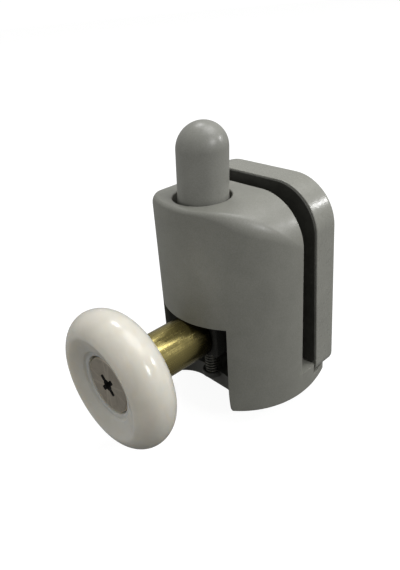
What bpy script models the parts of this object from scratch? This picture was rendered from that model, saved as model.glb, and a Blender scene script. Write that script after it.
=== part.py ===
"""Glass door roller with a push button.

A moulded housing clamps a glass panel against a plate behind it. A push button slides down
through the housing and carries an axle, on which a ball-bearing wheel turns. Metres, +Z up:
the wheel is towards -Y, the clamp plate towards +Y, and X runs across the roller.
"""
import math

import bmesh
import bpy
from mathutils import Matrix, Vector

MM = 0.001
GAP = 0.3 * MM

# Housing
HOUSING_HALF_WIDTH = 14.9 * MM
HOUSING_DEPTH_TOP = 14.87 * MM
HOUSING_DEPTH_BOTTOM = 15.6 * MM
HOUSING_HEIGHT = 38.8 * MM
HOUSING_CORNER = 8.8 * MM
RIM_ROUND = 0.7 * MM
BASE_ROUND = 0.6 * MM
REAR_FACE_Y = 12.8 * MM
FOOT_HEIGHT = 4.4 * MM
SILL_HEIGHT = 1.9 * MM
SILL_TAPER = 22.5
SILL_BACK_Y = 21.8 * MM

# Notch under the button, the pocket behind it, and the web with a round ledge for the spring
NOTCH_HALF_WIDTH = 8.8 * MM
NOTCH_CORNER = 6.3 * MM
NOTCH_BACK_Y = 4.2 * MM
NOTCH_TOP = 17.8 * MM
POCKET_HALF_WIDTH = 5.1 * MM
POCKET_BACK_Y = 9.3 * MM
LEDGE_BOTTOM = 1.9 * MM
LEDGE_RADIUS = 2.4 * MM
WEB_TOP = 3.4 * MM

# Clamp plate, pad and screws
SLOT_WIDTH = 3.7 * MM
PLATE_THICKNESS = 5.4 * MM
PLATE_HALF_WIDTH = 14.7 * MM
PLATE_HEIGHT = 39.5 * MM
PLATE_BOTTOM = 2.2 * MM
PLATE_CORNER = 8.32 * MM
PLATE_FOOT_CORNER = 2.2 * MM
PLATE_ROUND = 0.7 * MM
PAD_THICKNESS = 0.4 * MM
PAD_GAP = 0.05 * MM
CLAMP_X = 9.3 * MM
CLAMP_Z = 22.0 * MM
CLAMP_SHANK = 1.95 * MM
CLAMP_HEAD = 3.9 * MM
CLAMP_LENGTH = 13.4 * MM
INSERT_RADIUS = 2.9 * MM
INSERT_LENGTH = 6.3 * MM

# Plunger: button, carrier block and cross pin
AXIS_Y = 4.6 * MM
BUTTON_RADIUS = 4.32 * MM
BUTTON_TOP = 51.0 * MM
BUTTON_FOOT = 17.8 * MM
BUTTON_HOLE = 5.0 * MM
STEM_RADIUS = 2.5 * MM
STEM_TOP = 28.0 * MM
CROSS_PIN_Z = 23.0 * MM
CROSS_PIN_RADIUS = 0.75 * MM
CARRIER_HALF_WIDTH = 4.6 * MM
CARRIER_FRONT_Y = 0.9 * MM
CARRIER_BACK_Y = 8.9 * MM
CARRIER_BOTTOM = 9.4 * MM
CARRIER_TOP = 17.5 * MM
AXLE_INSERT_RADIUS = 2.8 * MM
AXLE_INSERT_LENGTH = 5.2 * MM

# Return spring
SPRING_RADIUS = 1.4 * MM
SPRING_WIRE = 0.15 * MM
SPRING_BOTTOM = 2.75 * MM
SPRING_TOP = 9.25 * MM
SPRING_TURNS = 8
SPRING_SEAT_RADIUS = 1.95 * MM

# Axle, spacer and wheel
AXLE_Z = 13.28 * MM
SHANK_RADIUS = 2.0 * MM
AXLE_LENGTH = 27.0 * MM
BRASS_RADIUS = 4.28 * MM
HEAD_RADIUS = 5.02 * MM
HEAD_THICKNESS = 1.4 * MM
HEAD_FRONT_Y = -19.25 * MM
WHEEL_RADIUS = 12.5 * MM
WHEEL_MIDDLE_Y = -17.02 * MM
WHEEL_FRONT_HALF = 4.24 * MM
WHEEL_BACK_HALF = 4.39 * MM
WHEEL_FLAT_RADIUS = 7.84 * MM
WHEEL_BORE = 5.36 * MM
BEARING_MIDDLE_Y = -15.25 * MM
BEARING_HALF_WIDTH = 2.3 * MM
OUTER_RACE_RADIUS = 8.0 * MM
OUTER_SHOULDER = 6.15 * MM
SHIELD_LIP = 6.9 * MM
INNER_SHOULDER = 4.45 * MM
PITCH_RADIUS = 5.3 * MM
TRACK_RADIUS = 1.45 * MM
BALL_RADIUS = 1.2 * MM
BALL_COUNT = 7

PLATE_FRONT_Y = REAR_FACE_Y + SLOT_WIDTH
PLATE_BACK_Y = PLATE_FRONT_Y + PLATE_THICKNESS
ALONG_Y = (math.radians(-90), 0.0, 0.0)
ALONG_X = (0.0, math.radians(90), 0.0)

for old in list(bpy.data.objects):
    bpy.data.objects.remove(old, do_unlink=True)

roller = bpy.data.collections.new("door_roller")
bpy.context.scene.collection.children.link(roller)
cutters = bpy.data.collections.new("cutters")
bpy.context.scene.collection.children.link(cutters)


def surface(name, colour, roughness, metallic=0.0):
    """Principled material of one sub-part."""
    material = bpy.data.materials.new(name)
    material.use_nodes = True
    shader = material.node_tree.nodes["Principled BSDF"]
    shader.inputs["Base Color"].default_value = (colour[0], colour[1], colour[2], 1.0)
    shader.inputs["Roughness"].default_value = roughness
    shader.inputs["Metallic"].default_value = metallic
    return material


GREY = (0.27, 0.27, 0.255)
STEEL = (0.55, 0.54, 0.52)
BRASS = (0.50, 0.40, 0.17)


def place(made, material, location, rotation, parent):
    """Links an object as a part, or as a hidden cutter when it has no material."""
    if material is None:
        cutters.objects.link(made)
        made.hide_render = True
        made.display_type = "WIRE"
    else:
        roller.objects.link(made)
        made.data.materials.append(material)
    made.rotation_euler = rotation
    made.parent = parent
    made.location = Vector(location) - (parent.location if parent else Vector())
    return made


def frame_at(name, location):
    """Empty on a joint's axis that the moving pieces hang from."""
    empty = bpy.data.objects.new(name, None)
    empty.empty_display_size = 5 * MM
    empty.location = location
    roller.objects.link(empty)
    return empty


def solid(bm, name, material, location=(0, 0, 0), rotation=(0, 0, 0), parent=None, sharp=0.6):
    """Object made from a bmesh."""
    mesh = bpy.data.meshes.new(name)
    bm.to_mesh(mesh)
    bm.free()
    mesh.shade_smooth()
    mesh.set_sharp_from_angle(angle=sharp)
    return place(bpy.data.objects.new(name, mesh), material, location, rotation, parent)


def block(name, low, high, material, parent=None, edge=0.0):
    """Rectangular block between two corners, with rounded edges if asked."""
    size = Vector(high) - Vector(low)
    bm = bmesh.new()
    bmesh.ops.create_cube(bm, size=1.0, matrix=Matrix.Diagonal((*size, 1.0)))
    made = solid(bm, name, material, (Vector(low) + Vector(high)) / 2, (0, 0, 0), parent)
    if edge:
        round_edges(made, edge)
    return made


def bar(name, radius, start, length, rotation, material, segments=32, parent=None):
    """Round bar that starts at a point and runs along its rotated Z axis."""
    bm = bmesh.new()
    bmesh.ops.create_cone(bm, cap_ends=True, segments=segments, radius1=radius, radius2=radius, depth=length,
                          matrix=Matrix.Translation((0.0, 0.0, length / 2)))
    return solid(bm, name, material, start, rotation, parent)


def turned(name, profile, location, rotation, material, segments=40, closed=False, parent=None, sharp=0.6):
    """Turned piece: a profile of (radius, height) points going down the outside, and a Screw."""
    points = [(r, 0.0, h) for r, h in profile]
    edges = [(k, k + 1) for k in range(len(points) - 1)]
    if closed:
        edges.append((len(points) - 1, 0))
    mesh = bpy.data.meshes.new(name)
    mesh.from_pydata(points, edges, [])
    made = place(bpy.data.objects.new(name, mesh), material, location, rotation, parent)
    screw = made.modifiers.new("turn", "SCREW")
    screw.axis = "Z"
    screw.angle = 2 * math.pi
    screw.steps = segments
    screw.render_steps = segments
    screw.use_merge_vertices = True
    screw.merge_threshold = 0.000002
    screw.use_smooth_shade = True
    screw.use_normal_calculate = False
    return made


def tube_profile(inner, outer, low, high, edge):
    """Closed outline of a tube wall with small chamfers, down the outside first."""
    return [(inner + edge, high), (outer - edge, high), (outer, high - edge), (outer, low + edge),
            (outer - edge, low), (inner + edge, low), (inner, low + edge), (inner, high - edge)]


def flat_shape(name, outline, thickness, location, rotation, material, round_to=0.0, parent=None):
    """Flat piece: a filled 2D outline, extruded both ways and made into a welded mesh."""
    curve = bpy.data.curves.new(name, "CURVE")
    curve.dimensions = "2D"
    curve.fill_mode = "BOTH"
    curve.extrude = thickness / 2
    line = curve.splines.new("POLY")
    line.points.add(len(outline) - 1)
    for point, (x, y) in zip(line.points, outline):
        point.co = (x, y, 0.0, 1.0)
    line.use_cyclic_u = True
    guide = bpy.data.objects.new(name + "_outline", curve)
    bpy.context.scene.collection.objects.link(guide)
    bpy.context.view_layer.update()
    mesh = bpy.data.meshes.new_from_object(guide.evaluated_get(bpy.context.evaluated_depsgraph_get()))
    bpy.data.objects.remove(guide, do_unlink=True)
    bm = bmesh.new()
    bm.from_mesh(mesh)
    bpy.data.meshes.remove(mesh)
    bmesh.ops.remove_doubles(bm, verts=bm.verts, dist=1e-6)
    bmesh.ops.dissolve_limit(bm, angle_limit=0.001, verts=bm.verts, edges=bm.edges)
    bmesh.ops.recalc_face_normals(bm, faces=bm.faces)
    made = solid(bm, name, material, location, rotation, parent)
    if round_to:
        round_edges(made, round_to)
    return made


def round_edges(made, width, segments=2, angle=50):
    """Rounds the sharp edges of a piece."""
    bevel = made.modifiers.new("rounded_edges", "BEVEL")
    bevel.width = width
    bevel.segments = segments
    bevel.limit_method = "ANGLE"
    bevel.angle_limit = math.radians(angle)
    return bevel


def boolean(made, other, operation="DIFFERENCE"):
    """Cuts, joins or trims a piece with another one."""
    step = made.modifiers.new(operation.lower() + "_" + other.name, "BOOLEAN")
    step.operation = operation
    step.solver = "EXACT"
    step.object = other
    return step


def arch(half_width, height, corner, bottom, foot_corner, steps=10):
    """Arched outline, flat on top with wide corners, going clockwise from the lower left."""
    outline = []
    corners = ((-1, True, corner, math.pi), (1, True, corner, math.pi / 2),
               (1, False, foot_corner, 0.0), (-1, False, foot_corner, -math.pi / 2))
    for side, upper, radius, begin in corners:
        cx = side * (half_width - radius)
        cz = height - radius if upper else bottom + radius
        turns = steps if upper else 3
        for k in range(turns + 1):
            a = begin - math.pi / 2 * k / turns
            outline.append((cx + radius * math.cos(a), cz + radius * math.sin(a)))
    return outline


# The housing: sections across X differ in depth and in height, so they are lofted.
def arch_height(x):
    """Height of the arched top at a distance x from the middle."""
    past = abs(x) - (HOUSING_HALF_WIDTH - HOUSING_CORNER)
    if past <= 0:
        return HOUSING_HEIGHT
    return HOUSING_HEIGHT - HOUSING_CORNER + math.sqrt(max(0.0, HOUSING_CORNER ** 2 - past ** 2))


def section(t):
    """Outline of the housing at one station, from its foot forwards, up and back."""
    x = -HOUSING_HALF_WIDTH * math.cos(t)
    bulge = max(0.0, math.sin(t)) if 0.001 < t < math.pi - 0.001 else 0.0
    low_round = BASE_ROUND * min(1.0, 2.2 * bulge)
    rim = RIM_ROUND * min(1.0, 1.4 * bulge)
    front_low = REAR_FACE_Y - HOUSING_DEPTH_BOTTOM * bulge
    front_top = REAR_FACE_Y - HOUSING_DEPTH_TOP * bulge
    top = arch_height(x)
    foot_back = PLATE_FRONT_Y - GAP
    line = [(foot_back, 0.0)]
    for k in range(3):
        a = math.pi / 2 * k / 2
        line.append((front_low + low_round * (1 - math.sin(a)), low_round * (1 - math.cos(a))))
    line.append((front_low + (front_top - front_low) * FOOT_HEIGHT / HOUSING_HEIGHT, FOOT_HEIGHT))
    for k in range(4):
        a = math.pi / 2 * k / 3
        line.append((front_top + rim * (1 - math.cos(a)), top - rim * (1 - math.sin(a))))
    line += [(REAR_FACE_Y, top), (REAR_FACE_Y, FOOT_HEIGHT), (foot_back, FOOT_HEIGHT)]
    return [(x, y, z) for y, z in line]


def housing_body(stations=28):
    """D-shaped housing with an arched top and a low foot behind the slot."""
    bm = bmesh.new()
    rows = [[bm.verts.new(p) for p in section(math.pi * i / stations)] for i in range(stations + 1)]
    count = len(rows[0])
    for a, b in zip(rows, rows[1:]):
        for k in range(count):
            n = (k + 1) % count
            bm.faces.new((a[k], a[n], b[n], b[k]))
    bm.faces.new([rows[0][k] for k in (0, 3, 4, count - 1)])
    bm.faces.new([rows[-1][k] for k in (count - 1, 4, 3, 0)])
    bmesh.ops.remove_doubles(bm, verts=bm.verts, dist=1e-6)
    bmesh.ops.dissolve_degenerate(bm, dist=1e-7, edges=bm.edges)
    bmesh.ops.recalc_face_normals(bm, faces=bm.faces)
    bmesh.ops.triangulate(bm, faces=bm.faces)
    return bm


housing = solid(housing_body(), "housing", surface("housing_plastic", GREY, 0.42))

notch_outline = [(-NOTCH_HALF_WIDTH, -8 * MM)]
notch_centre = NOTCH_HALF_WIDTH - NOTCH_CORNER
for side, begin in ((-1, math.pi), (1, math.pi / 2)):
    for step in range(9):
        angle = begin - math.pi / 2 * step / 8
        notch_outline.append((side * notch_centre + NOTCH_CORNER * math.cos(angle),
                              NOTCH_BACK_Y - NOTCH_CORNER + NOTCH_CORNER * math.sin(angle)))
notch_outline.append((NOTCH_HALF_WIDTH, -8 * MM))
boolean(housing, flat_shape("notch_cutter", notch_outline, NOTCH_TOP + 2 * MM,
                            (0, 0, NOTCH_TOP / 2 - MM), (0, 0, 0), None))
boolean(housing, block("pocket_cutter", (-POCKET_HALF_WIDTH, -2 * MM, WEB_TOP),
                       (POCKET_HALF_WIDTH, POCKET_BACK_Y, NOTCH_TOP - 0.02 * MM), None))
boolean(housing, bar("spring_ledge", LEDGE_RADIUS, (0, AXIS_Y, LEDGE_BOTTOM), WEB_TOP - LEDGE_BOTTOM - 0.02 * MM, (0, 0, 0),
                     None, 28), "UNION")
boolean(housing, bar("button_bore_cutter", BUTTON_HOLE, (0, AXIS_Y, 17 * MM), 28 * MM, (0, 0, 0), None, 36))
boolean(housing, bar("seat_cutter", SPRING_SEAT_RADIUS, (0, AXIS_Y, 2.6 * MM), 3 * MM, (0, 0, 0), None, 20))

# Low sill that runs on under the clamp plate and narrows towards its back.
sill_outline = []
for side in (-1, 1):
    edge = []
    for step in range(9):
        y = REAR_FACE_Y + (0.6 + step) * MM
        edge.append((side * (HOUSING_HALF_WIDTH - SILL_TAPER * (y - REAR_FACE_Y) ** 2), y))
    edge.append((edge[-1][0] - side * 0.7 * MM, SILL_BACK_Y))
    sill_outline += edge if side < 0 else edge[::-1]
boolean(housing, flat_shape("sill", sill_outline, SILL_HEIGHT, (0, 0, SILL_HEIGHT / 2), (0, 0, 0), None), "UNION")

# Clamp plate, its rubber pad, and the two screws with their brass inserts.
plate = flat_shape("clamp_plate", arch(PLATE_HALF_WIDTH, PLATE_HEIGHT, PLATE_CORNER, PLATE_BOTTOM, PLATE_FOOT_CORNER),
                   PLATE_THICKNESS, (0, PLATE_FRONT_Y + PLATE_THICKNESS / 2, 0), (math.radians(90), 0, 0),
                   surface("plate_plastic", (0.31, 0.31, 0.295), 0.42), PLATE_ROUND)
pad_outline = arch(PLATE_HALF_WIDTH - 0.8 * MM, PLATE_HEIGHT - 0.8 * MM, PLATE_CORNER - 0.8 * MM,
                   FOOT_HEIGHT + GAP, 0.8 * MM)
pad = flat_shape("glass_pad", pad_outline, PAD_THICKNESS,
                 (0, PLATE_FRONT_Y - PAD_GAP - PAD_THICKNESS / 2, 0), (math.radians(90), 0, 0),
                 surface("pad_rubber", (0.03, 0.03, 0.027), 0.8))


def cross_recess(target, centre, arm, width, depth, turn, facing):
    """Sinks a cross recess into a screw head that faces -Y or +Y."""
    for k in (0, 1):
        bm = bmesh.new()
        bmesh.ops.create_cube(bm, size=1.0, matrix=Matrix.Diagonal((arm, 2 * depth, width, 1.0)))
        cutter = solid(bm, "%s_cross_%d" % (target.name, k), None, centre, (0, turn + math.pi / 2 * k, 0))
        boolean(target, cutter)
    well = turned(target.name + "_cross_well", [(0, 0.5 * depth), (0.3 * arm, 0.5 * depth), (0.1 * arm, -1.4 * depth),
                                                (0, -1.4 * depth)],
                  centre, (math.radians(90 * facing), 0, 0), None, 8)
    boolean(target, well)


for side, label in ((-1, "left"), (1, "right")):
    x = side * CLAMP_X
    boolean(housing, bar("insert_cutter_" + label, INSERT_RADIUS + GAP, (x, 5.6 * MM, CLAMP_Z), 9 * MM, ALONG_Y,
                         None, 24))
    hole = bar("shank_cutter_" + label, CLAMP_SHANK + GAP, (x, 12 * MM, CLAMP_Z), 12 * MM, ALONG_Y, None, 24)
    boolean(plate, hole)
    boolean(pad, hole)
    sink = [(0, 2.6 * MM), (CLAMP_HEAD + GAP, 2.6 * MM), (CLAMP_HEAD + GAP, -0.3 * MM), (CLAMP_SHANK, -2.4 * MM),
            (0, -2.4 * MM)]
    boolean(plate, turned("sink_cutter_" + label, sink, (x, PLATE_BACK_Y, CLAMP_Z), ALONG_Y, None, 24))
    screw_line = [(0, 0), (CLAMP_HEAD, 0), (CLAMP_HEAD, -0.25 * MM), (CLAMP_SHANK, -2.15 * MM),
                  (CLAMP_SHANK, 0.4 * MM - CLAMP_LENGTH), (CLAMP_SHANK - 0.4 * MM, -CLAMP_LENGTH),
                  (0, -CLAMP_LENGTH)]
    spot = (x, PLATE_BACK_Y - 0.15 * MM, CLAMP_Z)
    clamp_screw = turned("clamp_screw_" + label, screw_line, spot, ALONG_Y,
                         surface("clamp_screw_steel_" + label, STEEL, 0.3, 1.0), 24)
    cross_recess(clamp_screw, spot, 3.6 * MM, 0.75 * MM, 1.0 * MM, 0.4 * side, 1)
    turned("clamp_insert_" + label, tube_profile(CLAMP_SHANK + 0.25 * MM, INSERT_RADIUS, 0, INSERT_LENGTH, 0.2 * MM),
           (x, 5.9 * MM, CLAMP_Z), ALONG_Y, surface("clamp_insert_brass_" + label, BRASS, 0.35, 1.0), 24, True)

# Plunger: everything here moves down with the button.
plunger = frame_at("plunger_frame", (0, AXIS_Y, AXLE_Z))
button_line = []
for step in range(9):
    angle = math.pi / 2 * (1 - step / 8)
    button_line.append((BUTTON_RADIUS * math.cos(angle), BUTTON_TOP - BUTTON_RADIUS * (1 - math.sin(angle))))
button_line += [(BUTTON_RADIUS, BUTTON_FOOT + 0.4 * MM), (BUTTON_RADIUS - 0.4 * MM, BUTTON_FOOT),
                (STEM_RADIUS + GAP, BUTTON_FOOT), (STEM_RADIUS + GAP, STEM_TOP + GAP), (0, STEM_TOP + GAP)]
button = turned("push_button", button_line, (0, AXIS_Y, 0), (0, 0, 0),
                surface("button_plastic", (0.25, 0.25, 0.235), 0.38), 36, False, plunger)

carrier = block("axle_carrier", (-CARRIER_HALF_WIDTH, CARRIER_FRONT_Y, CARRIER_BOTTOM),
                (CARRIER_HALF_WIDTH, CARRIER_BACK_Y, CARRIER_TOP),
                surface("carrier_plastic", (0.10, 0.10, 0.095), 0.5), plunger, 0.5 * MM)
boolean(carrier, bar("stem_join", STEM_RADIUS, (0, AXIS_Y, 16.9 * MM), STEM_TOP - 16.9 * MM, (0, 0, 0), None, 28),
        "UNION")
pin_hole = bar("pin_hole_cutter", CROSS_PIN_RADIUS + 0.2 * MM, (-6 * MM, AXIS_Y, CROSS_PIN_Z), 12 * MM, ALONG_X,
               None, 16)
boolean(button, pin_hole)
boolean(carrier, pin_hole)
bar("cross_pin", CROSS_PIN_RADIUS, (-4.1 * MM, AXIS_Y, CROSS_PIN_Z), 8.2 * MM, ALONG_X,
    surface("cross_pin_steel", STEEL, 0.3, 1.0), 20, plunger)
boolean(carrier, bar("axle_bore_cutter", SHANK_RADIUS + GAP, (0, -2 * MM, AXLE_Z), 14 * MM, ALONG_Y, None, 28))
boolean(carrier, bar("axle_insert_cutter", AXLE_INSERT_RADIUS + GAP, (0, 3.2 * MM, AXLE_Z), 9 * MM, ALONG_Y, None, 28))
turned("axle_insert", tube_profile(SHANK_RADIUS + 0.2 * MM, AXLE_INSERT_RADIUS, 0, AXLE_INSERT_LENGTH, 0.15 * MM),
       (0, 3.5 * MM, AXLE_Z), ALONG_Y, surface("axle_insert_brass", BRASS, 0.35, 1.0), 28, True, plunger)

axle_line = [(0, 0), (SHANK_RADIUS - 0.4 * MM, 0), (SHANK_RADIUS, -0.4 * MM),
             (SHANK_RADIUS, HEAD_THICKNESS - AXLE_LENGTH), (HEAD_RADIUS, HEAD_THICKNESS - AXLE_LENGTH),
             (HEAD_RADIUS, 0.2 * MM - AXLE_LENGTH), (HEAD_RADIUS - 0.25 * MM, -AXLE_LENGTH), (0, -AXLE_LENGTH)]
axle = turned("axle_screw", axle_line, (0, HEAD_FRONT_Y + AXLE_LENGTH, AXLE_Z), ALONG_Y,
              surface("axle_screw_steel", STEEL, 0.3, 1.0), 36, False, plunger)
cross_recess(axle, (0, HEAD_FRONT_Y, AXLE_Z), 4.6 * MM, 0.95 * MM, 1.0 * MM, math.radians(47), -1)

spacer_front = BEARING_MIDDLE_Y + BEARING_HALF_WIDTH + GAP
spacer_length = CARRIER_FRONT_Y - GAP - spacer_front
turned("brass_spacer", tube_profile(SHANK_RADIUS + 0.25 * MM, BRASS_RADIUS, 0, spacer_length, 0.25 * MM),
       (0, spacer_front, AXLE_Z), ALONG_Y, surface("spacer_brass", BRASS, 0.28, 1.0), 36, True, plunger)


# Return spring under the carrier.
def coil():
    """Compression spring standing on the web, as a bevelled polyline."""
    curve = bpy.data.curves.new("return_spring", "CURVE")
    curve.dimensions = "3D"
    curve.bevel_depth = SPRING_WIRE
    curve.bevel_resolution = 2
    curve.use_fill_caps = True
    steps = 12 * SPRING_TURNS
    rise = SPRING_TOP - SPRING_BOTTOM - 2 * SPRING_WIRE
    line = curve.splines.new("POLY")
    line.points.add(steps)
    for k in range(steps + 1):
        a = 2 * math.pi * SPRING_TURNS * k / steps
        line.points[k].co = (SPRING_RADIUS * math.cos(a), SPRING_RADIUS * math.sin(a), rise * k / steps, 1.0)
    return bpy.data.objects.new("return_spring", curve)


place(coil(), surface("spring_steel", STEEL, 0.3, 1.0), (0, AXIS_Y, SPRING_BOTTOM + SPRING_WIRE), (0, 0, 0), None)


# Ball bearing: the inner race stays on the axle, the outer race turns with the wheel.
def track(shoulder, direction, steps=4):
    """Ball track across a race as (radius, height) points, from the top down."""
    reach = math.acos(min(1.0, abs(shoulder - PITCH_RADIUS) / TRACK_RADIUS))
    line = []
    for k in range(steps + 1):
        a = reach - 2 * reach * k / steps
        line.append((PITCH_RADIUS + direction * TRACK_RADIUS * math.cos(a), TRACK_RADIUS * math.sin(a)))
    return line


wheel = frame_at("wheel_frame", (0, WHEEL_MIDDLE_Y, AXLE_Z))
middle = (0, BEARING_MIDDLE_Y, AXLE_Z)
bore = SHANK_RADIUS + 0.25 * MM
inner_line = [(bore, BEARING_HALF_WIDTH), (INNER_SHOULDER, BEARING_HALF_WIDTH)]
inner_line += track(INNER_SHOULDER, -1)
inner_line += [(INNER_SHOULDER, -BEARING_HALF_WIDTH), (bore, -BEARING_HALF_WIDTH)]
turned("bearing_inner_race", inner_line, middle, ALONG_Y, surface("inner_race_steel", STEEL, 0.25, 1.0), 28, True,
       plunger)

seat = BEARING_HALF_WIDTH - 0.6 * MM
outer_line = [(SHIELD_LIP, BEARING_HALF_WIDTH), (OUTER_RACE_RADIUS, BEARING_HALF_WIDTH),
              (OUTER_RACE_RADIUS, -BEARING_HALF_WIDTH), (SHIELD_LIP, -BEARING_HALF_WIDTH), (SHIELD_LIP, -seat),
              (OUTER_SHOULDER, -seat)]
outer_line += list(reversed(track(OUTER_SHOULDER, 1)))
outer_line += [(OUTER_SHOULDER, seat), (SHIELD_LIP, seat)]
turned("bearing_outer_race", outer_line, middle, ALONG_Y, surface("outer_race_steel", STEEL, 0.25, 1.0), 32, True,
       wheel)

for side, label in ((-1, "front"), (1, "rear")):
    near = side * (BEARING_HALF_WIDTH - 0.45 * MM)
    far = side * (BEARING_HALF_WIDTH - 0.2 * MM)
    turned("bearing_shield_" + label, tube_profile(4.75 * MM, SHIELD_LIP - 0.1 * MM, min(near, far), max(near, far),
                                                   0.02 * MM),
           middle, ALONG_Y, surface("shield_steel_" + label, STEEL, 0.35, 1.0), 28, True, wheel)

ball_frame = frame_at("ball_cage_frame", middle)
cage = turned("ball_cage", tube_profile(4.72 * MM, 5.88 * MM, -1.68 * MM, 1.68 * MM, 0.05 * MM), middle, ALONG_Y,
              surface("cage_plastic", (0.06, 0.06, 0.06), 0.5), 28, True, ball_frame)
for k in range(BALL_COUNT):
    angle = 2 * math.pi * k / BALL_COUNT + math.pi / 2
    spot = Vector(middle) + PITCH_RADIUS * Vector((math.cos(angle), 0.0, math.sin(angle)))
    inside = Vector(middle) + 3.8 * MM * Vector((math.cos(angle), 0.0, math.sin(angle)))
    boolean(cage, bar("ball_pocket_cutter_%d" % (k + 1), BALL_RADIUS + 0.2 * MM, inside, 3 * MM,
                      (0, math.pi / 2 - angle, 0), None, 10))
    bm = bmesh.new()
    bmesh.ops.create_uvsphere(bm, u_segments=10, v_segments=6, radius=BALL_RADIUS)
    solid(bm, "bearing_ball_%d" % (k + 1), surface("ball_steel_%d" % (k + 1), STEEL, 0.12, 1.0), spot, (0, 0, 0),
          ball_frame, 1.2)

# Nylon tyre: round outside, a shallow dish in front with a bore that the screw head sits in.
bulge = WHEEL_RADIUS - WHEEL_FLAT_RADIUS
lip_back = HEAD_FRONT_Y + HEAD_THICKNESS - WHEEL_MIDDLE_Y
race_seat = OUTER_RACE_RADIUS + GAP
tyre_line = [(race_seat, WHEEL_BACK_HALF - 0.3 * MM)]
for step in range(2, 14):
    angle = math.pi / 2 - math.pi * step / 16
    half = WHEEL_BACK_HALF if angle > 0 else WHEEL_FRONT_HALF
    tyre_line.append((WHEEL_FLAT_RADIUS + bulge * math.cos(angle), half * math.sin(angle)))
tyre_line += [(9.4 * MM, -3.93 * MM), (8.9 * MM, -3.82 * MM), (8.2 * MM, -3.5 * MM), (6.3 * MM, -2.72 * MM),
              (5.9 * MM, -2.42 * MM), (WHEEL_BORE, -2.3 * MM)]
tyre_line += [(WHEEL_BORE, lip_back), (race_seat, lip_back)]
turned("wheel_tyre", tyre_line, (0, WHEEL_MIDDLE_Y, AXLE_Z), ALONG_Y, surface("tyre_nylon", (0.72, 0.70, 0.64), 0.25),
       48, True, wheel)
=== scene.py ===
"""Looks of the push-button glass door roller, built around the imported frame. Millimetres in the
shape code, turned into metres when a mesh is made: +Z up, wheel towards -Y, plate towards +Y."""
import math

import bmesh
import bpy
from mathutils import Euler, Matrix, Vector


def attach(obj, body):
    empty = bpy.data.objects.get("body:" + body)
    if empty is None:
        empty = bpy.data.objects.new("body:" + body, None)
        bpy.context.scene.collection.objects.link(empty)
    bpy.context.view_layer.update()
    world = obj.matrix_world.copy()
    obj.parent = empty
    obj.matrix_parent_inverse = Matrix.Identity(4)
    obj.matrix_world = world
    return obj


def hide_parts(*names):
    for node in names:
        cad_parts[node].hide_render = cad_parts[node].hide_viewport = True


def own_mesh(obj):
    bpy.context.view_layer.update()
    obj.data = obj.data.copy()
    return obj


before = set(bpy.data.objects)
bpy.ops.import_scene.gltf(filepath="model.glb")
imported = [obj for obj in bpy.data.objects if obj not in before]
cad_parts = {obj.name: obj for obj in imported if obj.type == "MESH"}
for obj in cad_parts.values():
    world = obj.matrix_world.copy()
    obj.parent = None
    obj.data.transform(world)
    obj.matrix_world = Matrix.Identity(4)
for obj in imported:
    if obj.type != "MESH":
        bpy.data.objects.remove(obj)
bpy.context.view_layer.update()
MM = 0.001
SHARP_ANGLE = 32.0

# ---------------------------------------------------------------- dimensions
# They follow the frame, apart from small changes that bring the looks closer to the photograph.
# Housing: half width, depth at the base and at the top, height, radius of the arch's corners.
W, DEPTH_LOW, DEPTH_TOP, HEIGHT, CORNER = 14.9, 15.6, 14.87, 38.8, 8.8
# Rear face of the housing, height and back of the foot, back of the sill.
REAR_Y, FOOT_Z, FOOT_Y, SILL_Y = 12.8, 4.4, 16.8, 21.8
# Notch: top, radius of its upright corners, and X and Y of their centres.
NOTCH_Z, NOTCH_R, NOTCH_CX, NOTCH_CY = 17.7, 6.3, 2.5, -2.1
# Where the painted shade in the notch fades out: sideways, backwards and upwards.
DARK_X, DARK_Y, DARK_Z = (7.9, 8.4), (9.8, 10.6), (17.45, 17.62)
# Clamp plate: front and back faces, half width, top, corner radius, lower edge, lean in degrees.
PLATE_Y0, PLATE_Y1, PLATE_W, PLATE_H, PLATE_R, PLATE_Z = 16.64, 22.0, 14.7, 39.5, 8.32, 1.97
PLATE_LEAN = 1.6
SCREW_X, SCREW_Z = 9.3, 22.0
# Button: its axis, radius and top, and the height where it starts to bend, how much and which way.
AXIS_Y, BUTTON_R, BUTTON_TOP = 4.6, 4.32, 51.0
BEND_FROM, BEND, BEND_WAY = 35.0, 0.052, (0.68, 0.73, 0)
# Heights of the axle and of the cross pin, and the face of the axle screw's head.
AXLE_Z, PIN_Z, HEAD_Y = 13.28, 23.0, -19.25
AXLE_AT = (0, 0, AXLE_Z)
# Middle planes of the wheel and of the bearing, and half the bearing's width.
WHEEL_Y, BEARING_Y, BEARING_HALF = -17.02, -15.25, 2.3
SPRING_AT = (-0.25, 4.05, 0)
# The wheel reaches 3 mm below the housing when the plunger is down, so the floor is lower still.
FLOOR_Z, FLOOR_RADIUS, BACKDROP_RADIUS = -3.1, 1400.0, 1390.0
# Camera: place, turn in degrees about X, Y and Z, and lens for a 36 mm sensor.
CAMERA_AT, CAMERA_TURN, LENS = (66.25697, -54.05789, 70.71001), (61.0136, 4.4339, 47.1055), 35.41333


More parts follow.
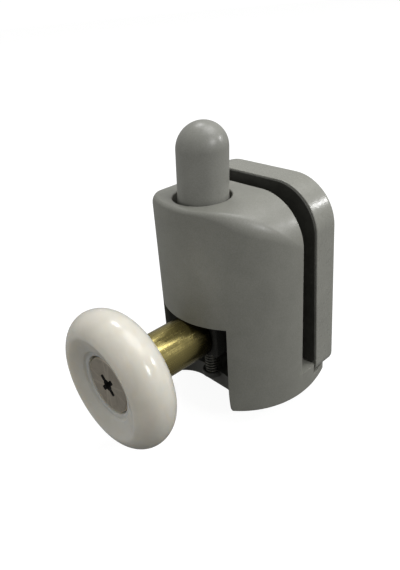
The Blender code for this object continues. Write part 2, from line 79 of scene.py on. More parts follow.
# ---------------------------------------------------------------- node helpers
class Nodes:
    """Small wrapper that builds a material's node tree."""

    def __init__(self, name, rough, metallic=0.0, spec=0.5):
        self.mat = bpy.data.materials.new(name)
        self.mat.use_nodes = True
        self.tree = self.mat.node_tree
        self.shader = self.tree.nodes["Principled BSDF"]
        self.shader.inputs["Roughness"].default_value = rough
        self.shader.inputs["Metallic"].default_value = metallic
        self.shader.inputs["Specular IOR Level"].default_value = spec
        coords = self.add("ShaderNodeTexCoord")
        scale = self.add("ShaderNodeMapping")
        scale.inputs["Scale"].default_value = (1000.0, 1000.0, 1000.0)
        self.join(coords.outputs["Object"], scale.inputs["Vector"])
        self.where = scale.outputs["Vector"]

    def add(self, kind, **values):
        node = self.tree.nodes.new(kind)
        for key, value in values.items():
            setattr(node, key, value)
        return node

    def join(self, a, b):
        self.tree.links.new(a, b)

    def stretched(self, scale, spin=(0, 0, 0)):
        node = self.add("ShaderNodeMapping")
        node.inputs["Scale"].default_value = scale
        node.inputs["Rotation"].default_value = spin
        self.join(self.where, node.inputs["Vector"])
        return node.outputs["Vector"]

    def noise(self, size, detail=4.0, rough=0.55, where=None, twist=0.0):
        """Noise whose features are about size millimetres across."""
        node = self.add("ShaderNodeTexNoise")
        node.inputs["Scale"].default_value = 1.0 / size
        node.inputs["Detail"].default_value = detail
        node.inputs["Roughness"].default_value = rough
        node.inputs["Distortion"].default_value = twist
        self.join(where or self.where, node.inputs["Vector"])
        return node.outputs["Fac"]

    def ramp(self, value, *stops):
        """Colour ramp through (position, colour or grey) stops."""
        node = self.add("ShaderNodeValToRGB")
        band = node.color_ramp.elements
        while len(band) < len(stops):
            band.new(0.5)
        for stop, (at, shade) in zip(band, stops):
            stop.position = at
            grey = isinstance(shade, (int, float))
            stop.color = (shade, shade, shade, 1) if grey else (*shade, 1)
        self.join(value, node.inputs["Fac"])
        return node.outputs["Color"]

    def span(self, value, low, high, a=0.3, b=0.7):
        node = self.add("ShaderNodeMapRange")
        for key, number in zip(("From Min", "From Max", "To Min", "To Max"), (a, b, low, high)):
            node.inputs[key].default_value = number
        self.join(value, node.inputs["Value"])
        return node.outputs["Result"]

    def math(self, kind, a, b):
        node = self.add("ShaderNodeMath", operation=kind)
        for k, value in enumerate((a, b)):
            if isinstance(value, (int, float)):
                node.inputs[k].default_value = value
            else:
                self.join(value, node.inputs[k])
        return node.outputs[0]

    def mix(self, factor, a, b, kind="MIX"):
        node = self.add("ShaderNodeMix", data_type="RGBA", blend_type=kind)
        for key, value in (("Factor", factor), ("A", a), ("B", b)):
            socket = [s for s in node.inputs if s.name == key and s.enabled][0]
            if isinstance(value, (int, float)):
                socket.default_value = value if key == "Factor" else (value, value, value, 1)
            elif isinstance(value, tuple):
                socket.default_value = (*value, 1)
            else:
                self.join(value, socket)
        return [s for s in node.outputs if s.enabled][0]

    def over(self, base, mask, amount, colour):
        """Lays a colour over the base where the mask is white."""
        return self.mix(self.math("MULTIPLY", mask, amount), base, colour)

    def place(self):
        """X, Y and Z of the shaded point in millimetres."""
        split = self.add("ShaderNodeSeparateXYZ")
        self.join(self.where, split.inputs[0])
        return split.outputs

    def pointiness(self, *stops):
        return self.ramp(self.add("ShaderNodeNewGeometry").outputs["Pointiness"], *stops)

    def edges(self, low=0.52, high=0.6):
        """White on convex edges, black elsewhere."""
        return self.pointiness((low, 0.0), (high, 1.0))

    def hollows(self, low=0.40, high=0.49):
        """White in concave corners, black elsewhere."""
        return self.pointiness((low, 1.0), (high, 0.0))

    def bumps(self, *layers):
        """Chain of (height, strength, depth in millimetres) bumps."""
        last = None
        for height, strength, depth in layers:
            node = self.add("ShaderNodeBump")
            node.inputs["Strength"].default_value = strength
            node.inputs["Distance"].default_value = depth * MM
            self.join(height, node.inputs["Height"])
            if last:
                self.join(last, node.inputs["Normal"])
            last = node.outputs["Normal"]
        self.join(last, self.shader.inputs["Normal"])

    def finish(self, colour, roughness):
        self.join(colour, self.shader.inputs["Base Color"])
        self.join(roughness, self.shader.inputs["Roughness"])
        return self.mat


def tinted(colour, gain):
    return tuple(min(1.0, c * gain) for c in colour)


def plastic(name, colour, rough=0.42, spec=0.45, grain=0.03, dirt=0.0, notch=False):
    """Satin moulded plastic: faint blotches, fine grain, handling marks, lighter rubbed edges,
    painted shade in concave corners and, when notch is set, painted shade in the notch.
    """
    n = Nodes(name, rough, 0.0, spec)
    blotch = n.noise(5.0, 5.0, 0.6, twist=0.4)
    base = n.ramp(blotch, (0.3, tinted(colour, 0.93)), (0.7, tinted(colour, 1.06)))
    speck = n.noise(0.22, 2.0)
    base = n.mix(n.span(speck, 0.0, 0.06), base, 0.75)
    scuff = n.noise(1.0, 6.0, 0.7, n.stretched((0.35, 0.35, 1.6), (0.3, 0.5, 0.2)))
    marks = n.ramp(scuff, (0.62, 0.0), (0.74, 1.0))
    base = n.over(base, marks, 0.06, tinted(colour, 1.5))
    if dirt:
        grime = n.ramp(n.noise(1.3, 6.0, 0.65, twist=1.0), (0.66, 0.0), (0.76, 1.0))
        base = n.over(base, grime, dirt, tinted(colour, 0.55))
    base = n.over(base, n.edges(), 0.18, tinted(colour, 1.35))
    # painted shade: darker in concave corners, where shade falls
    base = n.over(base, n.hollows(), 0.35, tinted(colour, 0.55))
    if notch:
        # painted shade, by position: darkens the notch and the pocket behind it, where shade falls
        at = n.place()
        side = n.span(n.math("ABSOLUTE", at["X"], 0.0), 1.0, 0.0, *DARK_X)
        back = n.span(at["Y"], 1.0, 0.0, *DARK_Y)
        roof = n.span(at["Z"], 1.0, 0.0, *DARK_Z)
        notch_shade = n.math("MULTIPLY", n.math("MULTIPLY", side, back), roof)
        base = n.over(base, notch_shade, 0.85, tinted(colour, 0.10))
    roughness = n.math("ADD", n.span(n.noise(2.2, 5.0), rough - 0.06, rough + 0.07),
                       n.math("MULTIPLY", marks, 0.03))
    n.bumps((n.noise(0.16, 2.0), 0.25, grain), (n.noise(3.5, 2.0), 0.35, 0.06),
            (scuff, 0.03, 0.02))
    return n.finish(base, roughness)


def metal(name, colour, rough=0.3, axis=None, rings=False, tarnish=0.25, shade=None):
    """Machined metal, with painted shade in its concave corners. Lines run along an axis (drawn
    stock) or round Y (turned face). Shade is the two places in Y between which painted shade
    darkens the colour."""
    n = Nodes(name, rough, 1.0)
    if rings:
        wave = n.add("ShaderNodeTexWave", wave_type="RINGS", rings_direction="Y")
        wave.inputs["Scale"].default_value = 2.3
        wave.inputs["Distortion"].default_value = 1.2
        wave.inputs["Detail"].default_value = 3.0
        shifted = n.add("ShaderNodeMapping")
        shifted.inputs["Location"].default_value = (0.0, 0.0, -AXLE_Z)
        n.join(n.where, shifted.inputs["Vector"])
        n.join(shifted.outputs["Vector"], wave.inputs["Vector"])
        lines = wave.outputs["Fac"]
    else:
        stretch = {None: (1, 1, 1), "Y": (4.0, 0.05, 4.0), "Z": (4.0, 4.0, 0.12)}[axis]
        lines = n.noise(0.7, 5.0, 0.65, n.stretched(stretch))
    stain = n.noise(2.4, 6.0, 0.65, twist=0.8)
    base = n.ramp(lines, (0.25, tinted(colour, 0.86)), (0.75, tinted(colour, 1.08)))
    base = n.mix(n.span(stain, 0.0, tarnish, 0.42, 0.75), base, tinted(colour, 0.45))
    base = n.over(base, n.edges(0.53, 0.62), 0.4, tinted(colour, 1.35))
    # painted shade: darker in concave corners, where shade falls
    base = n.over(base, n.hollows(), 0.6, tinted(colour, 0.3))
    if shade:
        # painted shade: near black towards the end that sits under the housing
        base = n.mix(n.span(n.place()["Y"], 0.0, 0.93, *shade), base, (0.012, 0.010, 0.006))
    roughness = n.math("ADD", n.span(lines, rough - 0.05, rough + 0.06),
                       n.span(stain, 0.0, 0.16, 0.42, 0.75))
    n.bumps((lines, 0.16, 0.02), (n.noise(0.3, 3.0), 0.08, 0.012))
    return n.finish(base, roughness)


def nylon(name):
    """Translucent off-white nylon: soft depth, faint clouds, worn tread, a few dust specks,
    painted shade in concave places.
    """
    n = Nodes(name, 0.22, 0.0, 0.42)
    cloud = n.noise(4.0, 4.0, 0.5, twist=0.6)
    base = n.ramp(cloud, (0.3, (0.60, 0.58, 0.52)), (0.7, (0.66, 0.64, 0.58)))
    dust = n.ramp(n.noise(0.45, 5.0, 0.7), (0.70, 0.0), (0.78, 1.0))
    base = n.over(base, dust, 0.10, (0.35, 0.31, 0.25))
    # painted shade: darker in the dish, the bore and other concave places
    base = n.over(base, n.hollows(0.42, 0.495), 0.3, (0.36, 0.32, 0.26))
    roughness = n.math("ADD", n.span(n.noise(1.6, 6.0, 0.7), 0.17, 0.28),
                       n.math("MULTIPLY", dust, 0.2))
    n.shader.inputs["Subsurface Weight"].default_value = 0.9
    n.shader.inputs["Subsurface Radius"].default_value = (1.0, 0.86, 0.68)
    n.shader.inputs["Subsurface Scale"].default_value = 0.005
    n.shader.inputs["Coat Weight"].default_value = 0.15
    n.shader.inputs["Coat Roughness"].default_value = 0.12
    n.bumps((n.noise(0.5, 3.0), 0.06, 0.02), (n.noise(6.0, 2.0), 0.25, 0.08))
    return n.finish(base, roughness)


def rubber(name):
    """Matt dark pad with a fine pitted skin and pale dust."""
    n = Nodes(name, 0.75, 0.0, 0.3)
    base = n.ramp(n.noise(2.5, 5.0, 0.6), (0.3, (0.032, 0.032, 0.027)), (0.7, (0.05, 0.05, 0.043)))
    dust = n.ramp(n.noise(0.5, 5.0, 0.7), (0.58, 0.0), (0.72, 1.0))
    base = n.over(base, dust, 0.22, (0.13, 0.125, 0.11))
    n.bumps((n.noise(0.14, 2.0), 0.4, 0.03), (n.noise(1.4, 3.0), 0.2, 0.04))
    return n.finish(base, n.span(n.noise(1.0, 4.0), 0.62, 0.86))


GREY = (0.205, 0.205, 0.179)
LIGHT_GREY = (0.235, 0.235, 0.208)
# the housing's notch gets painted shade, by position
HOUSING = plastic("housing_grey", GREY, 0.40, 0.5, 0.03, 0.04, notch=True)
PLATE = plastic("plate_grey", LIGHT_GREY, 0.27, 0.4, 0.02)
BUTTON = plastic("button_grey", (0.22, 0.22, 0.197), 0.36, 0.5, 0.02, 0.05)
# near black: painted shade for the carrier, which sits in the shaded notch
CARRIER_SHADE = plastic("carrier_grey_painted_shade", (0.018, 0.018, 0.015), 0.6, 0.2, 0.03)
CAGE = plastic("cage_black", (0.03, 0.03, 0.03), 0.5, 0.4, 0.02)
PAD = rubber("pad_dark")
STEEL = metal("screw_zinc", (0.60, 0.59, 0.56), 0.28)
SPRING_STEEL = metal("spring_wire", (0.24, 0.235, 0.21), 0.4)
HEAD_STEEL = metal("axle_nickel", (0.66, 0.60, 0.51), 0.42, rings=True, tarnish=0.35)
RACE_STEEL = metal("bearing_steel", (0.62, 0.61, 0.59), 0.2, rings=True)
SHIELD_STEEL = metal("shield_steel", (0.52, 0.50, 0.47), 0.34, rings=True)
BALL_STEEL = metal("ball_steel", (0.66, 0.66, 0.65), 0.08)
# the spacer gets painted shade towards the housing
BRASS = metal("spacer_brass", (0.50, 0.42, 0.16), 0.19, axis="Y", tarnish=0.22, shade=(-6.5, 0.4))
INSERT_BRASS = metal("insert_brass", (0.58, 0.46, 0.20), 0.32, axis="Y")
NYLON = nylon("tyre_nylon")
# near black stands in for the shade in the axle screw's cross recess
RECESS_SHADE = plastic("recess_shade_black", (0.006, 0.006, 0.005), 0.7, 0.1)


# ---------------------------------------------------------------- shape helpers
def made(name, bm, material):
    """Turns a bmesh in millimetres into an object in metres."""
    bmesh.ops.remove_doubles(bm, verts=bm.verts, dist=1e-4)
    bmesh.ops.dissolve_degenerate(bm, dist=1e-5, edges=bm.edges)
    bmesh.ops.recalc_face_normals(bm, faces=bm.faces)
    bmesh.ops.scale(bm, vec=(MM, MM, MM), verts=bm.verts)
    mesh = bpy.data.meshes.new(name)
    bm.to_mesh(mesh)
    bm.free()
    mesh.shade_smooth()
    mesh.set_sharp_from_angle(angle=math.radians(SHARP_ANGLE))
    if material:
        mesh.materials.append(material)
    ob = bpy.data.objects.new(name, mesh)
    bpy.context.scene.collection.objects.link(ob)
    return ob


def fillet(points, closed=True, steps=4):
    """Polygon of (u, v, radius) corners with each corner rounded by its radius."""
    out, n = [], len(points)
    for i, (u, v, r) in enumerate(points):
        if r <= 0 or (not closed and i in (0, n - 1)):
            out.append((u, v))
            continue
        p = Vector((u, v))
        a = (Vector(points[i - 1][:2]) - p).normalized()
        b = (Vector(points[(i + 1) % n][:2]) - p).normalized()
        half = a.angle(b) / 2
        reach = r / math.tan(half)
        centre = p + (a + b).normalized() * (r / math.sin(half))
        start, end = p + a * reach - centre, p + b * reach - centre
        for k in range(steps + 1):
            d = start.lerp(end, k / steps).normalized() * r
            out.append(tuple(centre + d))
    return out


def lathe(name, profile, centre, axis, material, segments=96, closed=True):
    """Turned piece: (radius, height) points about an axis through centre, height along +axis."""
    bm = bmesh.new()
    rows = []
    for k in range(segments):
        a = 2 * math.pi * k / segments
        row = []
        for r, h in profile:
            x, y = r * math.cos(a), r * math.sin(a)
            p = (x, y, h) if axis == "Z" else (x, h, y) if axis == "Y" else (h, x, y)
            row.append(bm.verts.new(Vector(p) + Vector(centre)))
        rows.append(row)
    count = len(profile)
    for k in range(segments):
        a, b = rows[k], rows[(k + 1) % segments]
        for i in range(count if closed else count - 1):
            j = (i + 1) % count
            bm.faces.new((a[i], a[j], b[j], b[i]))
    return made(name, bm, material)


def cuts(ob, *others, kind="DIFFERENCE"):
    """Cuts an object with others, or joins them to it, then removes them."""
    for other in others:
        step = ob.modifiers.new("cut", "BOOLEAN")
        step.operation = kind
        step.solver = "EXACT"
        step.object = other
    bake(ob)
    for other in others:
        bpy.data.objects.remove(other, do_unlink=True)
    return ob


def bake(ob):
    """Applies an object's modifiers."""
    bpy.context.view_layer.update()
    mesh = bpy.data.meshes.new_from_object(ob.evaluated_get(bpy.context.evaluated_depsgraph_get()))
    ob.modifiers.clear()
    ob.data = mesh
    mesh.shade_smooth()
    mesh.set_sharp_from_angle(angle=math.radians(SHARP_ANGLE))
    return ob


def box(name, low, high, material=None, edge=0.0):
    """Block between two corners, with rounded edges if asked."""
    bm = bmesh.new()
    size, middle = Vector(high) - Vector(low), (Vector(high) + Vector(low)) / 2
    place = Matrix.Translation(middle) @ Matrix.Diagonal((*size, 1.0))
    bmesh.ops.create_cube(bm, size=1.0, matrix=place)
    if edge:
        bmesh.ops.bevel(bm, geom=bm.edges[:], offset=edge, segments=4, profile=0.5,
                        affect="EDGES")
    return made(name, bm, material)


def drum(name, radius, low, high, centre, axis, segments=64):
    """Plain round cutter."""
    line = [(0, low), (radius, low), (radius, high), (0, high)]
    return lathe(name, line, centre, axis, None, segments)


def bands(bm, rows):
    """Faces between neighbouring closed rows of vertices."""
    for a, b in zip(rows, rows[1:]):
        for i in range(len(a)):
            j = (i + 1) % len(a)
            bm.faces.new((a[i], a[j], b[j], b[i]))


def arch_ring(half_width, height, corner, foot_z, foot_corner):
    """Points and outward normals of the arch outline in X and Z, clockwise from the lower left."""
    ring = []
    for side, upper, r, begin in ((-1, 1, corner, math.pi), (1, 1, corner, math.pi / 2),
                                  (1, 0, foot_corner, 0.0), (-1, 0, foot_corner, -math.pi / 2)):
        cx, cz = side * (half_width - r), height - r if upper else foot_z + r
        turns = 20 if upper else 6
        for k in range(turns + 1):
            a = begin - math.pi / 2 * k / turns
            c, s = math.cos(a), math.sin(a)
            ring.append((Vector((cx + r * c, cz + r * s)), Vector((c, s))))
    return ring


def slab(name, ring, y0, y1, front, back, material, steps=5, heel=0.0):
    """Flat arch piece between two Y planes with rounded edges, and a rounder heel if asked."""
    angles = [math.pi / 2 * k / steps for k in range(steps + 1)]
    layers = [(front * (1 - math.sin(a)), y0 + front * (1 - math.cos(a))) for a in angles]
    if heel:
        layers += [(0.0, y1 - back - (heel - back) * (1 - k / 6)) for k in range(6)]
    layers += [(back * (1 - math.cos(a)), y1 - back * (1 - math.sin(a))) for a in angles]
    bm = bmesh.new()
    rows = [[bm.verts.new((p.x - n.x * inset, y, p.y - n.y * inset)) for p, n in ring]
            for inset, y in layers]
    bands(bm, rows)
    bm.faces.new(rows[0])
    bm.faces.new(rows[-1][::-1])
    if heel:
        low = min(p.y for p, n in ring)
        for v in bm.verts:
            past = min(heel, max(0.0, v.co.y - (y1 - heel)))
            v.co.z = max(v.co.z, low + heel - math.sqrt(heel ** 2 - past ** 2))
    return made(name, bm, material)


def lean(ob, degrees, pivot):
    """Tips a mesh about a line along X."""
    at = Vector(pivot) * MM
    tip = Matrix.Rotation(math.radians(degrees), 4, "X")
    ob.data.transform(Matrix.Translation(at) @ tip @ Matrix.Translation(-at))
    return ob


def weighted(ob):
    """Normals that follow the large faces, so that flats stay flat beside rounded edges."""
    mod = ob.modifiers.new("normals", "WEIGHTED_NORMAL")
    mod.keep_sharp = True
    mod.weight = 90
    return ob


def put(ob, body, slot, *nodes):
    """Rides the piece on its body in place of CAD nodes."""
    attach(ob, body)
    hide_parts(*nodes)
    return ob


# ---------------------------------------------------------------- housing
def arch_top(x):
    past = abs(x) - (W - CORNER)
    return HEIGHT if past <= 0 else HEIGHT - CORNER + math.sqrt(max(0.0, CORNER ** 2 - past ** 2))


def depth_at(z):
    return DEPTH_LOW + (DEPTH_TOP - DEPTH_LOW) * z / HEIGHT


def front_y(x, z, inset=0.0):
    return REAR_Y - depth_at(z) * math.sqrt(max(0.0, 1 - (x / W) ** 2)) + inset


def taper(y):
    """How far the foot and the sill have narrowed at a distance behind the housing's rear face."""
    return 0.0225 * (y - REAR_Y) ** 2


def smooth(t):
    """Eases from 0 to 1."""
    return t * t * (3 - 2 * t)


def housing_piece():
    """D-shaped body with an arched top, a notch under the button and a low foot behind the slot."""
    rear_round, base_round, rim_round = 0.3, 0.35, 0.75
    # the rim grows by this much, from this distance off the middle and over this width
    rim_growth, rim_from, rim_over = 1.9, 4.5, 8.5
    rear, sides, middle, body_rows, rim_steps = REAR_Y - rear_round, 26, 44, 16, 7
    last = 2 * sides + middle
    start = math.asin(rear_round / 14.95)
    arcs = [math.pi / 2 * k / 5 for k in range(6)]
    # heights of the lower rows, and how far the base rounding pulls each one in
    rows = [(base_round * (1 - math.cos(a)), base_round * (1 - math.sin(a))) for a in arcs]
    rows += [(z, 0.0) for z in (0.85, 1.1, 1.7, 2.5, 3.4, FOOT_Z)]
    foot_row = len(rows) - 1
    rows += [(FOOT_Z + (NOTCH_Z - FOOT_Z) * k / 8, 0.0) for k in range(1, 9)]
    notch_row = len(rows) - 1

    def notch_edge(z, inset):
        """Where the notch's corner arc meets the front: its angle, the arc's centre and radius."""
        r = NOTCH_R - 0.25 * (1 - z / NOTCH_Z) + 0.12 * max(0.0, 1 - z / 0.8) ** 2
        cx = NOTCH_CX + 0.35 * max(0.0, 1 - z / 5.5) ** 2 + 0.35 * max(0.0, 1 - z / 0.8) ** 2
        low, high = -0.6, math.pi / 2
        for _ in range(40):
            mid = (low + high) / 2
            if NOTCH_CY + r * math.sin(mid) > front_y(cx + r * math.cos(mid), z, inset):
                high = mid
            else:
                low = mid
        return low, cx, r

    def notch_wall(z, inset):
        """Plan points of the notch wall from its left edge to its right edge."""
        turn, cx, r = notch_edge(z, inset)
        arc, flat, points = r * (math.pi / 2 - turn), 2 * cx, []
        for k in range(middle + 1):
            s = (2 * arc + flat) * k / middle
            if s < arc:
                a = math.pi - turn - s / r
                points.append((-cx + r * math.cos(a), NOTCH_CY + r * math.sin(a)))
            elif s <= arc + flat:
                points.append((-cx + s - arc, NOTCH_CY + r))
            else:
                a = math.pi / 2 - (s - arc - flat) / r
                points.append((cx + r * math.cos(a), NOTCH_CY + r * math.sin(a)))
        return points

    def column_angles(z, inset):
        """Angles round the D of the columns at one height."""
        turn, cx, r = notch_edge(z, inset)
        edge = math.acos((cx + r * math.cos(turn)) / W)
        return ([start + (edge - start) * i / sides for i in range(sides)]
                + [edge + (math.pi - 2 * edge) * i / middle for i in range(middle)]
                + [math.pi - edge + (edge - start) * i / sides for i in range(sides + 1)])

    bm = bmesh.new()
    soft = bm.edges.layers.float.new("bevel_weight_edge")

    def strip(a, b):
        for i in range(len(a) - 1):
            corners = []
            for v in (a[i], a[i + 1], b[i + 1], b[i]):
                if v not in corners:
                    corners.append(v)
            if len(corners) > 2:
                bm.faces.new(corners)

    def soften(line):
        for a, b in zip(line, line[1:]):
            edge = bm.edges.get((a, b))
            if edge:
                edge[soft] = 1.0

    grid = []
    for z, inset in rows:
        wall, row = notch_wall(z, inset), []
        for i, t in enumerate(column_angles(z, inset)):
            x, d = -W * math.cos(t), depth_at(z)
            if sides <= i <= sides + middle:
                x, y = wall[i - sides]
            else:
                near = min(i, last - i) / sides
                n = Vector((x / W ** 2, -math.sin(t) / d)).normalized()
                shifted = Vector((x, REAR_Y - d * math.sin(t) + inset))
                offset = Vector((x, REAR_Y - d * math.sin(t))) - n * inset
                x, y = offset.lerp(shifted, smooth(near))
                if i in (0, last):
                    y = rear
            row.append(bm.verts.new((x, y, z)))
        grid.append(row)
    angles = column_angles(NOTCH_Z, 0.0)
    xs = [-W * math.cos(t) for t in angles]
    edge_row = [bm.verts.new((x, front_y(x, NOTCH_Z), NOTCH_Z)) if sides < i < sides + middle
                else grid[notch_row][i] for i, x in enumerate(xs)]
    upper = [edge_row]
    for k in range(1, body_rows + rim_steps + 1):
        row = []
        for i, x in enumerate(xs):
            end = i in (0, last)
            grow = max(0.0, min(1.0, (abs(x) - rim_from) / rim_over))
            fade = 0.0 if end else min(1.0, 1.4 * math.sin(angles[i]))
            rim = (rim_round + rim_growth * smooth(grow)) * fade
            top = arch_top(x)
            if k <= body_rows:
                z, back = NOTCH_Z + (top - rim - NOTCH_Z) * k / body_rows, 0.0
                y = front_y(x, z)
            else:
                a = math.pi / 2 * (k - body_rows) / rim_steps
                z = top - rim * (1 - math.sin(a))
                y = front_y(x, top - rim) + rim * (1 - math.cos(a))
            row.append(bm.verts.new((x, rear if end else min(y, rear), z)))
        upper.append(row)
    joint = [(grid[notch_row], edge_row)]
    for a, b in list(zip(grid, grid[1:])) + joint + list(zip(upper, upper[1:])):
        strip(a, b)
    ends = upper[-1]
    top_rear = [v if i in (0, last) else bm.verts.new((v.co.x, rear, v.co.z))
                for i, v in enumerate(ends)]
    strip(ends, top_rear)

    # rear edge: from the slot floor on the left, round the arch, to the slot floor on the right
    left = [grid[j][0] for j in range(foot_row, notch_row)] + [row[0] for row in upper]
    right = [grid[j][last] for j in range(foot_row, notch_row)] + [row[last] for row in upper]
    loop = left + top_rear[1:last] + right[::-1]
    rings = [loop]
    for a in arcs[1:]:
        inset, y, row = rear_round * (1 - math.cos(a)), rear + rear_round * math.sin(a), []
        for v in loop:
            past_x, past_z = abs(v.co.x) - (W - CORNER), v.co.z - (HEIGHT - CORNER)
            if past_z <= 0:
                n = Vector((math.copysign(1, v.co.x), 0))
            elif past_x <= 0:
                n = Vector((0, 1))
            else:
                n = Vector((math.copysign(past_x, v.co.x), past_z)).normalized()
            row.append(bm.verts.new((v.co.x - n.x * inset, y, v.co.z - n.y * inset)))
        strip(rings[-1], row)
        rings.append(row)
    bm.faces.new(rings[-1])

    # foot: the outline runs straight on towards the plate and turns two rounded upright corners
    foot = []
    for j in range(foot_row + 1):
        z, inset = rows[j]
        turn = [(W - inset - taper(y), y) for y in (14.0, 15.0, 15.8, 16.4)]
        turn += [(turn[-1][0] - 0.06, 16.6), (turn[-1][0] - 0.3, FOOT_Y)]
        plan = [(W - inset, REAR_Y)] + turn
        plan += [(-x, y) for x, y in reversed(plan)]
        foot.append([grid[j][last]] + [bm.verts.new((x, y, z)) for x, y in plan] + [grid[j][0]])
    for a, b in zip(foot, foot[1:]):
        strip(a, b)
    bm.faces.new(foot[-1] + [row[0] for row in rings[1:]] + [row[-1] for row in rings[:0:-1]])
    bm.faces.new(grid[0] + foot[0][1:-1])

    for i in (sides, sides + middle):
        soften([row[i] for row in grid])
    soften(edge_row[sides:sides + middle + 1])
    soften(foot[-1][1:-1])
    ob = made("housing_body", bm, HOUSING)
    bevel = ob.modifiers.new("soft_edges", "BEVEL")
    bevel.limit_method = "WEIGHT"
    bevel.width = 0.28 * MM
    bevel.segments = 3
    bake(ob)

    lip = fillet([(0, 16.5, 0), (5.0, 16.5, 0), (5.0, HEIGHT, 0.25), (8.0, HEIGHT, 0),
                  (8.0, 42.0, 0), (0, 42.0, 0)])
    bore = lathe("bore_cutter", lip, (0, AXIS_Y, 0), "Z", None, 96)
    pocket = box("pocket_cutter", (-5.1, -2.0, 3.4), (5.1, 9.3, NOTCH_Z - 0.02))
    seat = drum("seat_cutter", 1.7, 2.6, 5.6, SPRING_AT, "Z")
    line = fillet([(0, 2.25, 0), (2.05, 2.25, 0.3), (2.05, 3.38, 0.2), (0, 3.38, 0)],
                  closed=False)
    ledge = lathe("spring_ledge", line, SPRING_AT, "Z", HOUSING, 64, False)
    screw_holes = [drum("insert_cutter", 3.2, 5.6, 14.6, (side * SCREW_X, 0, SCREW_Z), "Y")
                   for side in (-1, 1)]
    cuts(ob, bore, pocket, *screw_holes)
    cuts(ledge, seat)
    put(weighted(ob), "housing", "housing_plastic", "housing")
    for piece in (ledge, sill_piece()):
        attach(piece, "housing")


def sill_piece():
    """Low sill under the plate, narrowing towards its rounded back edge."""
    begin, step, gap = 15.6, 0.4, 0.01
    side = [(W - gap - taper(begin + step * k), begin + step * k) for k in range(15)]
    tip = fillet([(*side[-2], 0), (side[-1][0], SILL_Y, 1.2), (0, SILL_Y, 0)],
                 closed=False, steps=6)
    plan = side[:-1] + tip[1:-1]
    plan += [(-x, y) for x, y in reversed(plan)]
    # height of each layer, and how far its edge is pulled in
    layers = [(0.0, 0.35), (0.03, 0.2), (0.1, 0.1), (0.22, 0.03), (0.36, 0.0),
              (1.75, 0.0), (1.86, 0.04), (1.9, 0.15)]
    bm = bmesh.new()
    rows = [[bm.verts.new((x - math.copysign(min(inset, abs(x)), x), y - inset, z))
             for x, y in plan] for z, inset in layers]
    bands(bm, rows)
    bm.faces.new(rows[0][::-1])
    bm.faces.new(rows[-1])
    return weighted(made("housing_sill", bm, HOUSING))


housing_piece()


# ---------------------------------------------------------------- clamp plate, pad and screws
def cross_cutters(at, arm, width, depth, turn, facing, thin=1.0):
    """Cutters of a cross recess in a face at a point, which looks towards facing * Y."""
    parts = []
    for k in (0, 1):
        wide = width * (thin if k else 1.0)
        bm = bmesh.new()
        bmesh.ops.create_cube(bm, size=1.0, matrix=Matrix.Diagonal((arm, 2 * depth, wide, 1.0)))
        for v in bm.verts:
            if v.co.y * facing < 0:
                v.co.x *= 0.72
                v.co.z *= 0.8
        long_edges = [e for e in bm.edges if abs(e.verts[0].co.y - e.verts[1].co.y) > depth]
        bmesh.ops.bevel(bm, geom=long_edges, offset=0.18 * wide, segments=3, profile=0.5,
                        affect="EDGES")
        spin = Matrix.Rotation(turn + k * math.pi / 2, 3, "Y")
        bmesh.ops.rotate(bm, cent=(0, 0, 0), matrix=spin, verts=bm.verts)
        bmesh.ops.translate(bm, vec=at, verts=bm.verts)
        parts.append(made("cross_cutter", bm, None))
    near, far = 0.6 * depth * facing, -1.5 * depth * facing
    well = [(0, near), (0.26 * arm, near), (0.2 * arm, -near), (0.05 * arm, far), (0, far)]
    parts.append(lathe("well_cutter", well, at, "Y", None, 24))
    return parts


def threaded(outer, start, end, pitch=0.7, depth=0.28):
    """Profile points of a thread drawn as ridges, going from start to end."""
    turns = int(abs(end - start) / pitch)
    step = math.copysign(pitch, end - start)
    points = []
    for k in range(turns):
        h = start + step * k
        points += [(outer, h), (outer, h + 0.25 * step), (outer - depth, h + 0.55 * step),
                   (outer - depth, h + 0.7 * step)]
    return points


